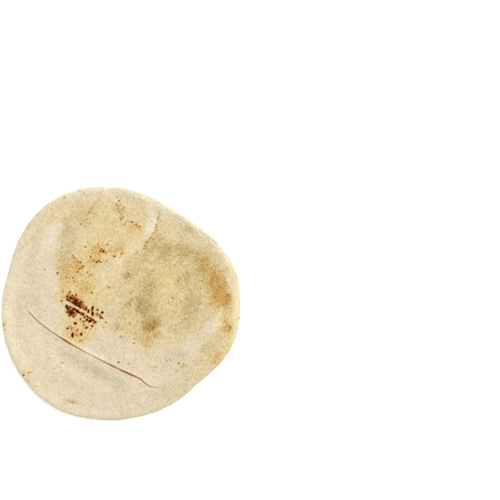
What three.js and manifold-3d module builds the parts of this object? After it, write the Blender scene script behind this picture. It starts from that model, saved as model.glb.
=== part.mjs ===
// One pocket pita, a thin round of soft flat bread lying on its underside, shut and uncut.
// Its two crusts meet in a rounded, pinched rim, so the bread is one closed solid.
// Millimetres, +Z up. The origin is under the middle of the bread, on the plane it rests on.

import * as THREE from 'three';
import { mergeVertices } from 'three/addons/utils/BufferGeometryUtils.js';
import Module from 'manifold-3d';

// ---- Driving dimensions ----

// Reach of the edge from the middle, every 15 degrees anticlockwise from +X. A hand-thrown
// round is never a circle: this one is flatter towards 60 degrees and fuller at 120 and 225.
const edgeReach = [
  119.5, 119.7, 115.3, 109.5, 106.7, 110.8, 116.6, 121.2, 124.0, 123.3, 120.1, 117.0,
  119.4, 121.4, 123.0, 124.3, 123.7, 119.5, 116.4, 114.4, 112.9, 111.5, 116.8, 120.2,
];

const crustGap = 4.6; // thickness of the shut bread away from its rim
const noseDepth = 3.2; // how far in the edge stays rounded
const bevelDepth = 6.8; // the same where the lower crust peeps out past the upper one
const rollInset = 5.5; // from the edge to the crest of the rim's roll
const rollWidth = 3.6;
const grooveInset = 13; // from the edge to the shallow groove inside the roll
const grooveWidth = 4.2;
const liftInset = 38; // the underside is flat inside this line and curls up outside it

// The tuck is where one end of the rolled lip laps the other, and the crinkles are a short
// stretch where the dough was pinched.
const tuck = { angle: 95, spread: 2.6, depth: 1.4 };
const crinkles = { angle: 42, spread: 7, depth: 0.5, pitch: 10 };

// The crease runs over the front crust as a bent line, deepest near the middle.
const creaseLine = [
  [-94, -7], [-81.8, -19.5], [-63.5, -32.8], [-39.5, -47.1], [-8.9, -62.9], [17.9, -75.4],
  [29.4, -83.3], [44, -86.5],
];
const creaseDepth = 1.5;
const creaseWidth = 2.6;

// Soft hills (+) and hollows (-) of the upper crust, each with its middle, reach and height.
const swells = [
  { x: 38, y: 22, reach: 42, height: 0.8 },
  { x: -30, y: 48, reach: 30, height: 0.5 },
  { x: -46, y: -4, reach: 16, height: 0.6 },
  { x: 60, y: -38, reach: 26, height: -0.5 },
  { x: 18, y: -22, reach: 22, height: -0.6 },
  { x: -66, y: -62, reach: 24, height: 0.5 },
  { x: 4, y: 78, reach: 18, height: -0.4 },
];
// The hollow that runs beside the crease, on its front side.
const trough = { from: [-70, -44], to: [6, -90], width: 9, depth: 0.9 };

// Facets of the finished solid.
const sectors = 108;
const crustRings = 15;
const noseRings = 4;
const innermostRing = 0.06; // as a share of the way out
const ringCrowding = 1.35; // over 1 packs the rings towards the rim
const creaseSteps = 36;

// ---- The outline ----

const degrees = THREE.MathUtils.degToRad;

// 1 in one direction, falling softly to 0 over a spread of degrees to both sides.
function lobe(angle, centre, spread) {
  const turn = Math.atan2(Math.sin(angle - degrees(centre)), Math.cos(angle - degrees(centre)));
  return Math.exp(-((turn / degrees(spread)) ** 2));
}

const edgeCurve = new THREE.CatmullRomCurve3(
  edgeReach.map((reach, i) => {
    const angle = (i / edgeReach.length) * 2 * Math.PI;
    return new THREE.Vector3(reach * Math.cos(angle), reach * Math.sin(angle), 0);
  }),
  true,
  'catmullrom',
  0.5,
);

function edgePoint(sector) {
  const point = edgeCurve.getPoint(sector / sectors);
  const angle = Math.atan2(point.y, point.x);
  const wave = Math.cos((angle - degrees(crinkles.angle)) * (360 / crinkles.pitch));
  const pinch = crinkles.depth * lobe(angle, crinkles.angle, crinkles.spread) * wave;
  const reach = point.length() - tuck.depth * lobe(angle, tuck.angle, tuck.spread) - pinch;
  return { angle, reach };
}

// ---- The section of the bread, from its middle out to its edge ----

function bump(distance, width) {
  return Math.exp(-((distance / width) ** 2));
}

// The rim's roll stands highest on the far left, and is nearly lost at the front.
function rollHeight(angle) {
  return 0.3 + 1.3 * lobe(angle, 122, 34) + 0.7 * lobe(angle, 185, 32) + 0.5 * lobe(angle, 0, 45);
}

function grooveDepth(angle) {
  return 0.2 + 0.7 * lobe(angle, 122, 36) + 0.6 * lobe(angle, 178, 30) + 0.3 * lobe(angle, 5, 40);
}

// The edge curls off the table a little, most at two places that face each other.
function edgeLift(angle) {
  return 0.7 + 2.0 * lobe(angle, 118, 42) + 1.6 * lobe(angle, 318, 38) + 0.6 * lobe(angle, 215, 25);
}

function undersideHeight(angle, inset) {
  const curl = Math.max(0, 1 - inset / liftInset);
  return edgeLift(angle) * curl * curl;
}

function troughDepth(x, y) {
  const along = new THREE.Vector2(trough.to[0] - trough.from[0], trough.to[1] - trough.from[1]);
  const offset = new THREE.Vector2(x - trough.from[0], y - trough.from[1]);
  const share = offset.dot(along) / along.lengthSq();
  const across = offset.cross(along) / along.length();
  const fade = Math.max(0, Math.sin(Math.PI * THREE.MathUtils.clamp(share, 0, 1)));
  return trough.depth * fade * bump(across, trough.width);
}

function thickness(angle, inset, x, y) {
  const roll = rollHeight(angle) * bump(inset - rollInset, rollWidth);
  const groove = grooveDepth(angle) * bump(inset - grooveInset, grooveWidth);
  let swell = 0;
  for (const hill of swells) {
    swell += hill.height * bump(Math.hypot(x - hill.x, y - hill.y), hill.reach);
  }
  return crustGap + roll - groove + swell - troughDepth(x, y);
}

// How far the upper crust slopes down to the edge: a short round nose, a long bevel at the
// upper right and a wider lip at the right.
function upperSlope(angle) {
  return noseDepth + (bevelDepth - noseDepth) * lobe(angle, 76, 17) + 1.4 * lobe(angle, 0, 36);
}

// A point of the skin: side 1 is the upper crust and -1 the underside. Both sides close on
// each other along a quarter of an ellipse.
function skinPoint({ angle, reach }, inset, side) {
  const x = (reach - inset) * Math.cos(angle);
  const y = (reach - inset) * Math.sin(angle);
  const full = thickness(angle, inset, x, y);
  const open = Math.min(inset / (side > 0 ? upperSlope(angle) : noseDepth), 1);
  const half = (full / 2) * Math.sqrt(1 - (1 - open) ** 2);
  return new THREE.Vector3(x, y, undersideHeight(angle, inset) + full / 2 + side * half);
}

// ---- Making the solids ----

// Closed skin through rings of points, one after another, with a fan over each end.
function loft(rings) {
  const count = rings[0].length;
  const points = rings.flat();
  const faces = [];
  for (let ring = 0; ring + 1 < rings.length; ring += 1) {
    for (let i = 0; i < count; i += 1) {
      const a = ring * count + i;
      const b = ring * count + ((i + 1) % count);
      faces.push(a, a + count, b, b, a + count, b + count);
    }
  }
  for (const [start, flip] of [[0, false], [(rings.length - 1) * count, true]]) {
    const centre = new THREE.Vector3();
    for (let i = 0; i < count; i += 1) centre.addScaledVector(points[start + i], 1 / count);
    const hub = points.push(centre) - 1;
    for (let i = 0; i < count; i += 1) {
      const next = start + ((i + 1) % count);
      faces.push(hub, flip ? next : start + i, flip ? start + i : next);
    }
  }
  const geometry = new THREE.BufferGeometry().setFromPoints(points);
  geometry.setIndex(faces);
  return geometry;
}

function breadSkin() {
  const edge = Array.from({ length: sectors }, (_, sector) => edgePoint(sector));
  const insets = [];
  for (let i = 0; i < crustRings; i += 1) {
    const share = innermostRing + (1 - innermostRing) * (i / (crustRings - 1));
    insets.push((reach, slope) => slope + (reach - slope) * (1 - share) ** ringCrowding);
  }
  for (let i = 1; i <= noseRings; i += 1) {
    const inward = 1 - Math.sin((i / noseRings) * (Math.PI / 2));
    insets.push((reach, slope) => slope * inward);
  }
  const ring = (inset, side) => edge.map((spot) => {
    const slope = side > 0 ? upperSlope(spot.angle) : noseDepth;
    return skinPoint(spot, inset(spot.reach, slope), side);
  });
  const upper = insets.map((inset) => ring(inset, 1));
  const under = insets.map((inset) => ring(inset, -1));
  return loft([...upper, ...under.slice(0, -1).reverse()]);
}

// The wedge that opens the crease: a three-sided bar that dips into the crust between its ends.
function creaseWedge() {
  const line = new THREE.CatmullRomCurve3(creaseLine.map(([x, y]) => new THREE.Vector3(x, y, 0)));
  const rings = [];
  for (let step = 0; step <= creaseSteps; step += 1) {
    const share = step / creaseSteps;
    const spot = line.getPoint(share);
    const across = line.getTangent(share).cross(new THREE.Vector3(0, 0, 1));
    const top = crustGap - troughDepth(spot.x, spot.y) + creaseWidth;
    const tip = crustGap - creaseDepth * Math.sin(Math.PI * share) ** 0.7;
    const side = across.multiplyScalar(creaseWidth * 0.5 * ((top - tip) / creaseDepth));
    rings.push([
      new THREE.Vector3(spot.x, spot.y, tip),
      new THREE.Vector3(spot.x + side.x, spot.y + side.y, top),
      new THREE.Vector3(spot.x - side.x, spot.y - side.y, top),
    ]);
  }
  return loft(rings);
}

const wasm = await Module();
wasm.setup();

function solid(geometry) {
  const welded = mergeVertices(geometry);
  const vertProperties = Float32Array.from(welded.attributes.position.array);
  const triVerts = Uint32Array.from(welded.index.array);
  return new wasm.Manifold(new wasm.Mesh({ numProp: 3, vertProperties, triVerts }));
}

function geometryOf(manifold) {
  const mesh = manifold.getMesh();
  const geometry = new THREE.BufferGeometry();
  geometry.setAttribute('position', new THREE.BufferAttribute(mesh.vertProperties, 3));
  geometry.setIndex(new THREE.BufferAttribute(mesh.triVerts, 1));
  return mergeVertices(geometry);
}

// ---- The bread ----

const crust = new THREE.MeshStandardMaterial({ color: 0xe2d3b0, roughness: 0.85, metalness: 0 });
const shape = geometryOf(solid(breadSkin()).subtract(solid(creaseWedge())));
const pita = new THREE.Mesh(shape, crust);
pita.name = 'pita';

// The bread is centred over the origin by the box of its outline.
shape.computeBoundingBox();
const middle = shape.boundingBox.getCenter(new THREE.Vector3());
pita.position.set(-middle.x, -middle.y, 0);

const group = new THREE.Group();
group.add(pita);

export default group;
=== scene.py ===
import math
import random

import bpy
import numpy as np
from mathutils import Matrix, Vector, noise
from mathutils.geometry import delaunay_2d_cdt


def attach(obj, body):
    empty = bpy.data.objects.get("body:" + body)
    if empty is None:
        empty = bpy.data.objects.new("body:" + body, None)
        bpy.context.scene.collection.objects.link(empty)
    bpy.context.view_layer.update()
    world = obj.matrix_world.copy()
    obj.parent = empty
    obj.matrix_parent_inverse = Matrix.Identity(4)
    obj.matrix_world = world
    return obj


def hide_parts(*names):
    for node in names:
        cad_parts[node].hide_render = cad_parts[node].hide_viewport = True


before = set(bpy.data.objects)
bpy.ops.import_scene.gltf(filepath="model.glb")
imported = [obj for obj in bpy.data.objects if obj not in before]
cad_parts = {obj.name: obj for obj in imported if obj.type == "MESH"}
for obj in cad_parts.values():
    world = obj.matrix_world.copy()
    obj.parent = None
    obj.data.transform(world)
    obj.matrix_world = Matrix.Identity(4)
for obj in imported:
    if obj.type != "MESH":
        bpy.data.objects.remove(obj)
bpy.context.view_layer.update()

# ==== The pita bread ====
# A pocket pita is one ball of dough rolled thin, which puffs up in a hot oven and falls flat
# again as it cools: two thin crusts, shut on each other, that meet in a soft rounded rim.
# The round is worked out in millimetres, with the middle of its underside at the origin.

METRES = 0.001  # a millimetre in the scene's own unit
RIM_RADIUS = 120  # about how far the rim is from the middle
SHUT_THICKNESS = 4.6
NOSE_DEPTH = 3.2  # how far in the edge stays rounded
BEVEL_DEPTH = 6.8  # the same at the upper right, where the lower crust peeps out
LIP_DEPTH = 7.6  # the same at the right, where the rim puffed up
CURL_HEIGHT = 0.7  # how far the edge curls up off the table
CURL_INSET = 38.0  # the underside lies flat inside this line
ROLL_HEIGHT = 0.25  # of the low roll along the rim
GROOVE_DEPTH = 0.05  # of the hollow inside that roll

# Where each is more than that: how much, in which direction, and over what spread in degrees.
ROUNDED_MORE = [
    (BEVEL_DEPTH - NOSE_DEPTH, 76, 17), (LIP_DEPTH - NOSE_DEPTH, 8, 30), (1.6, 125, 30),
    (0.8, 185, 40),
]
CURLED_MORE = [(2.0, 118, 42), (1.6, 318, 38), (0.6, 215, 25)]
ROLLED_MORE = [(0.8, 138, 30), (0.6, 185, 32), (0.3, 352, 30)]
GROOVED_MORE = [(0.45, 155, 38)]

# The outline is the solid's outermost corner in each sector, evened out, all in degrees.
OUTLINE_SECTOR = 5
OUTLINE_STEP = 0.5
EVENED_OVER = 2.4
EVENED_REACH = 6


def lobe(angle, centre, spread):
    """1 in one direction, falling softly to 0 over a spread of degrees to both sides."""
    turn = np.angle(np.exp(1j * (angle - math.radians(centre))))
    return np.exp(-((turn / math.radians(spread)) ** 2))


def all_round(angle, least, lobes):
    """A size all round the rim: the least of it, and how much more in some directions."""
    return sum((more * lobe(angle, centre, spread) for more, centre, spread in lobes), least)


def bump(distance, width):
    """1 at no distance, falling softly to 0 past the width."""
    return np.exp(-((distance / width) ** 2))


def ripple(points, size, octaves=2, seed=0):
    """Smooth unevenness from about -1 to 1, whose humps are about size millimetres across."""
    shift = Vector((31.7 * seed, 12.9 * seed, 57.3 * seed))
    spots = [Vector(point) / size + shift for point in points.tolist()]
    return np.array([noise.fractal(spot, 1.0, 2.0, octaves) for spot in spots])


def around_rim(angle):
    """Points on a circle as large as the rim, for unevenness that runs round it."""
    return np.stack([np.cos(angle), np.sin(angle), 0 * angle], axis=-1) * RIM_RADIUS


def edge_of_solid():
    """Direction and reach of the frame's outline, evened out to a smooth ring."""
    corners = np.array([v.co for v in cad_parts["pita"].data.vertices]) / METRES
    angle = np.arctan2(corners[:, 1], corners[:, 0])
    reach = np.hypot(corners[:, 0], corners[:, 1])
    sector = np.floor(np.degrees(angle) / OUTLINE_SECTOR)
    outer = [np.flatnonzero(sector == s)[np.argmax(reach[sector == s])] for s in np.unique(sector)]
    ring = np.radians(np.arange(-180, 180, OUTLINE_STEP))
    rough = np.interp(ring, angle[outer], reach[outer], period=2 * math.pi)
    steps = round(EVENED_REACH / OUTLINE_STEP)
    weights = bump(np.arange(-steps, steps + 1) * OUTLINE_STEP, EVENED_OVER)
    padded = np.concatenate([rough[-steps:], rough, rough[:steps]])
    return ring, np.convolve(padded, weights / weights.sum(), mode="valid")


ring_angle, ring_reach = edge_of_solid()


def edge_reach(angle):
    """Distance from the middle to the edge, with the small waves of a hand-shaped rim."""
    around = around_rim(angle)
    wave = 0.35 * ripple(around, 16, 2, seed=1) + 0.13 * ripple(around, 4, 2, seed=2)
    pinch = 0.35 * lobe(angle, 42, 5) * np.cos(angle * 90)
    tuck = 0.9 * lobe(angle, 95.4, 0.8) - 0.9 * lobe(angle, 58, 9)
    return np.interp(angle, ring_angle, ring_reach, period=2 * math.pi) + wave - pinch - tuck


def rounding(angle, side):
    """How far in from the edge the skin stays rounded, side 1 for the upper crust, -1 below."""
    return all_round(angle, NOSE_DEPTH, ROUNDED_MORE) if side > 0 else NOSE_DEPTH


def underside(angle, inset):
    """Height of the underside, which curls off the table near the rim."""
    curl = all_round(angle, CURL_HEIGHT, CURLED_MORE)
    return curl * np.clip(1 - inset / CURL_INSET, 0, None) ** 2


# Soft hills (+) and hollows (-) of the upper crust: middle x and y, reach and height.
SWELLS = [
    (38, 22, 42, 0.8), (-30, 48, 30, 0.5), (-46, -4, 16, 0.6), (60, -38, 26, -0.5),
    (18, -22, 22, -0.6), (-66, -62, 24, 0.5), (4, 78, 18, -0.4),
]


def thickness(angle, inset, x, y):
    """Thickness of the shut bread: the rim's roll, the groove inside it and the swells."""
    roll = all_round(angle, ROLL_HEIGHT, ROLLED_MORE)
    groove = all_round(angle, GROOVE_DEPTH, GROOVED_MORE)
    rim = roll * bump(inset - 5.5, 3.6) - groove * bump(inset - 14, 5)
    swell = sum(h * bump(np.hypot(x - sx, y - sy), reach) for sx, sy, reach, h in SWELLS)
    return SHUT_THICKNESS + rim + swell


def skin(angle, inset, side):
    """Points of the skin, side 1 on the upper crust and -1 below, shut on each other."""
    radius = edge_reach(angle) - inset
    x, y = radius * np.cos(angle), radius * np.sin(angle)
    full = thickness(angle, inset, x, y)
    open_share = np.clip(inset / rounding(angle, side), 0, 1)
    half = full / 2 * np.sqrt(1 - (1 - open_share) ** 2)
    return np.stack([x, y, underside(angle, inset) + full / 2 + side * half], axis=-1)


def skin_at(spots, side):
    """Points of the skin above or below spots of the table."""
    angle = np.arctan2(spots[:, 1], spots[:, 0])
    inset = edge_reach(angle) - np.hypot(spots[:, 0], spots[:, 1])
    return skin(angle, inset, side)


# ---- Scorched freckles and the charred spot ----
# Where the dough blisters against the hot oven floor each blister's top browns or burns.
# They lie in groups, and thickest over the bend in the crust left of the middle.

BLISTER_DOME = 0.2  # how high a black blister stands
CONE_HEIGHT = 1.62  # burning falls off as a cone round a mark's middle, cut off flat at 1
CONE_FALL = 0.85  # how far the cone falls over each half width

# Each blister is its place, its half length and half width, its tilt, and how burnt it is,
# from 0 for bare to 1 for black.
CHARRED_BLISTERS = [
    (-53.4, 6.3, 1.0, 0.8, 90, 1.0), (-53.3, 3.0, 1.2, 0.8, -50, 1.0),
    (-51.3, 1.9, 1.0, 0.7, -40, 0.9), (-49.0, 4.6, 1.1, 0.8, -20, 1.0),
    (-50.3, 5.7, 0.8, 0.7, 0, 0.8), (-48.4, 7.4, 1.0, 0.7, -20, 0.75),
    (-46.5, 4.0, 1.0, 0.6, 90, 0.75), (-44.7, 8.0, 0.9, 0.9, 0, 0.75),
    (-50.9, 11.3, 1.0, 0.7, 10, 0.6), (-51.9, 9.3, 1.4, 0.6, 60, 0.6),
    (-57.4, 11.3, 0.8, 0.8, 0, 0.5), (-59.3, 1.9, 1.1, 0.9, 0, 0.6),
    (-48.4, 0.5, 1.1, 0.7, -20, 1.0), (-46.0, -0.7, 1.4, 0.9, 0, 1.0),
    (-44.4, 1.6, 1.1, 0.8, 70, 1.0), (-43.3, -0.2, 0.9, 0.9, 90, 1.0),
    (-40.4, 0.5, 1.4, 0.6, 0, 1.0), (-38.7, 0.7, 0.9, 0.6, 20, 0.8),
    (-41.8, -3.0, 1.7, 0.9, -30, 0.85), (-44.5, -2.2, 1.4, 0.8, -35, 0.85),
    (-40.5, -4.8, 0.9, 0.8, 0, 1.0), (-38.0, -4.8, 1.0, 0.8, 0, 0.85),
    (-36.8, -3.0, 1.3, 1.0, -60, 0.55), (-35.3, -6.3, 1.4, 0.8, 15, 1.0),
    (-34.0, -4.5, 1.0, 0.7, 60, 0.7), (-43.2, 3.5, 1.1, 1.0, 90, 0.55),
    (-32.4, -8.5, 1.7, 0.8, 75, 0.95), (-28.4, -5.6, 2.0, 0.9, 73, 1.0),
    (-28.3, -10.8, 2.0, 1.0, 88, 1.0), (-23.3, -6.9, 1.1, 0.9, -60, 0.75),
    (-18.5, -9.6, 1.1, 1.0, 0, 1.0), (-20.3, -14.7, 1.3, 0.8, 90, 0.8),
    (-18.3, -15.2, 1.0, 0.7, -40, 0.65), (-21.0, -12.6, 1.6, 1.1, -45, 0.52),
    (-24.0, -11.3, 1.6, 1.3, 60, 0.44), (-28.8, 10.2, 1.1, 1.0, 0, 0.5),
    (-54.2, -3.4, 1.4, 1.0, 60, 1.0), (-51.5, -4.2, 1.5, 0.7, 45, 0.85),
    (-53.1, -6.0, 1.2, 0.9, -20, 0.95), (-49.5, -4.3, 1.1, 0.8, -30, 0.6),
    (-47.5, -6.1, 2.0, 0.8, 50, 1.0), (-45.3, -6.3, 1.6, 0.6, -30, 0.85),
    (-49.6, -9.0, 1.7, 1.3, 20, 1.0), (-47.8, -9.6, 1.3, 0.8, -20, 1.0),
    (-49.3, -10.8, 1.1, 0.9, 0, 1.0), (-53.3, -9.3, 1.3, 0.8, 0, 0.8),
    (-51.0, -12.0, 1.4, 1.1, 60, 0.8), (-47.3, -13.4, 1.5, 1.4, 90, 0.6),
    (-45.3, -11.7, 1.4, 0.7, -10, 0.6), (-43.3, -8.3, 1.6, 1.2, -50, 1.0),
    (-41.3, -9.8, 1.1, 0.8, -30, 0.85), (-37.7, -11.2, 1.4, 1.1, 10, 0.9),
    (-33.5, -13.4, 1.2, 0.8, -40, 1.0), (-31.9, -14.7, 0.8, 0.6, -40, 0.85),
    (-30.3, -15.3, 0.9, 0.8, 0, 0.95), (-36.4, -14.6, 0.9, 0.7, -40, 0.95),
    (-34.0, -17.0, 1.3, 1.0, 40, 0.85), (-30.9, -18.2, 1.6, 1.1, 35, 1.0),
    (-27.8, -16.9, 1.1, 0.7, -45, 0.9), (-26.4, -18.1, 0.9, 0.6, -45, 0.8),
    (-25.4, -19.4, 1.3, 1.1, 20, 0.65), (-26.8, -20.6, 1.1, 0.6, 20, 0.6),
    (-37.3, -18.6, 0.9, 0.9, 0, 0.8), (-40.3, -16.2, 1.0, 0.7, 90, 0.75),
    (-45.6, -20.5, 1.4, 0.9, -15, 1.0), (-28.7, -23.2, 1.1, 1.1, 0, 0.65),
    (-34.5, -24.7, 1.7, 1.0, 25, 0.65), (-37.0, -22.0, 1.2, 1.1, 0, 0.45),
    (-53.2, -25.4, 1.1, 0.9, 30, 0.7), (-50.5, -23.5, 1.2, 0.7, 0, 0.45),
    (-49.0, -25.2, 1.5, 0.8, 30, 0.42), (-49.3, -27.5, 0.9, 0.9, 0, 0.4),
    (-43.8, -27.2, 1.3, 1.1, 20, 0.5), (-48.3, -32.2, 1.9, 1.0, 88, 1.0),
    (-39.7, -31.3, 1.4, 1.1, 90, 0.8), (-44.8, -31.7, 1.8, 0.7, -35, 0.5),
    (-30.8, -26.4, 1.3, 0.8, -40, 0.35), (-17.3, -24.6, 0.9, 0.9, 0, 0.35),
    (-15.0, -19.5, 0.9, 0.8, 0, 0.5),
]

# The browned crust between the charred blisters, and brown patches and streaks elsewhere, in
# the same terms.
SCORCHED_AREAS = [
    (-51.0, 4.8, 5.0, 3.2, -30, 0.72), (-45.5, 2.0, 5.0, 3.2, -34, 0.8),
    (-40.5, -1.8, 5.0, 3.0, -35, 0.74), (-36.0, -4.0, 3.2, 2.2, -45, 0.5),
    (-51.5, -6.8, 3.2, 4.4, 20, 0.7), (-49.0, -9.8, 4.2, 3.2, 20, 0.8),
    (-44.5, -7.6, 4.8, 1.7, -30, 0.74), (-38.5, -11.2, 4.2, 2.2, -28, 0.58),
    (-33.0, -14.0, 4.6, 1.6, -38, 0.54), (-28.0, -17.5, 3.8, 1.8, -42, 0.54),
    (-21.0, -13.0, 3.4, 2.2, -45, 0.44), (-33.0, -8.0, 4.0, 2.2, -40, 0.34),
    (-36.5, -29.5, 2.6, 1.2, 10, 0.3), (-43.5, -29.3, 3.0, 1.2, -5, 0.34),
    (-40.5, -37.4, 3.4, 1.5, 5, 0.42), (-35.8, -35.8, 2.8, 1.1, 42, 0.46),
    (-46.5, 5.4, 5.0, 2.4, -32, 0.5), (-39.5, 1.4, 4.4, 2.2, -40, 0.44),
    (-56.5, 5.2, 3.0, 1.6, -50, 0.32), (-48.0, -12.6, 3.6, 2.0, 0, 0.46),
    (-57.0, -1.5, 3.0, 0.9, -48, 0.34), (-25.5, -10.5, 6.0, 3.4, -40, 0.26),
    (-18.5, 51.6, 4.2, 2.4, -15, 0.36), (-23.0, 41.4, 3.2, 1.8, 15, 0.36),
    (-43.0, 42.5, 3.2, 1.0, -40, 0.3), (-39.5, 35.0, 3.4, 1.4, 55, 0.4),
    (-3.5, 97.5, 3.0, 1.8, -40, 0.36), (17.0, 76.0, 2.6, 1.8, -50, 0.34),
    (30.5, -22.5, 3.4, 2.2, -15, 0.24), (2.0, 49.5, 2.6, 1.2, 60, 0.32),
    (106.5, 7.5, 2.8, 1.6, 60, 0.4), (105.3, 0.0, 4.2, 0.8, -67, 0.42),
    (98.5, 11.0, 3.0, 1.0, 60, 0.3), (101.0, 4.5, 2.4, 0.9, 20, 0.32),
    (104.5, 21.5, 3.4, 0.7, -52, 0.42), (99.5, 24.0, 3.0, 0.6, -60, 0.4),
    (109.0, -25.5, 1.4, 2.6, 0, 0.38), (104.5, -19.0, 2.4, 0.8, -35, 0.42),
    (94.0, 26.5, 2.2, 0.9, -50, 0.4), (96.5, 18.5, 1.8, 0.9, 30, 0.4),
    (98.5, 32.0, 2.4, 0.8, 75, 0.4), (102.5, 14.5, 2.6, 0.7, -75, 0.38),
    (107.5, 8.0, 2.0, 1.0, 20, 0.52), (106.0, -0.8, 3.0, 0.7, -70, 0.52),
    (95.3, 3.0, 1.8, 0.9, -30, 0.4), (100.5, 10.5, 1.6, 1.0, 40, 0.42),
    (102.0, 0.5, 1.8, 0.8, 0, 0.38), (94.9, 14.5, 2.0, 0.8, 70, 0.42),
    (102.8, 24.8, 3.2, 0.6, -50, 0.36), (107.6, 17.0, 3.4, 0.6, -66, 0.38),
    (103.4, 20.2, 1.9, 0.6, 38, 0.42), (99.4, 8.0, 1.7, 0.7, -50, 0.4),
    (97.0, 5.6, 1.8, 0.7, 60, 0.36), (103.4, -1.6, 2.2, 0.7, -60, 0.36),
    (-4.8, 99.4, 1.8, 1.0, 60, 0.34), (-5.4, 77.9, 2.2, 0.9, 20, 0.28),
    (-6.2, 82.5, 1.8, 0.7, 85, 0.28), (0.0, 88.4, 3.4, 0.7, -72, 0.32),
    (5.4, 92.6, 1.9, 0.6, 80, 0.26), (14.0, 78.2, 3.6, 0.9, -28, 0.32),
]

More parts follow.
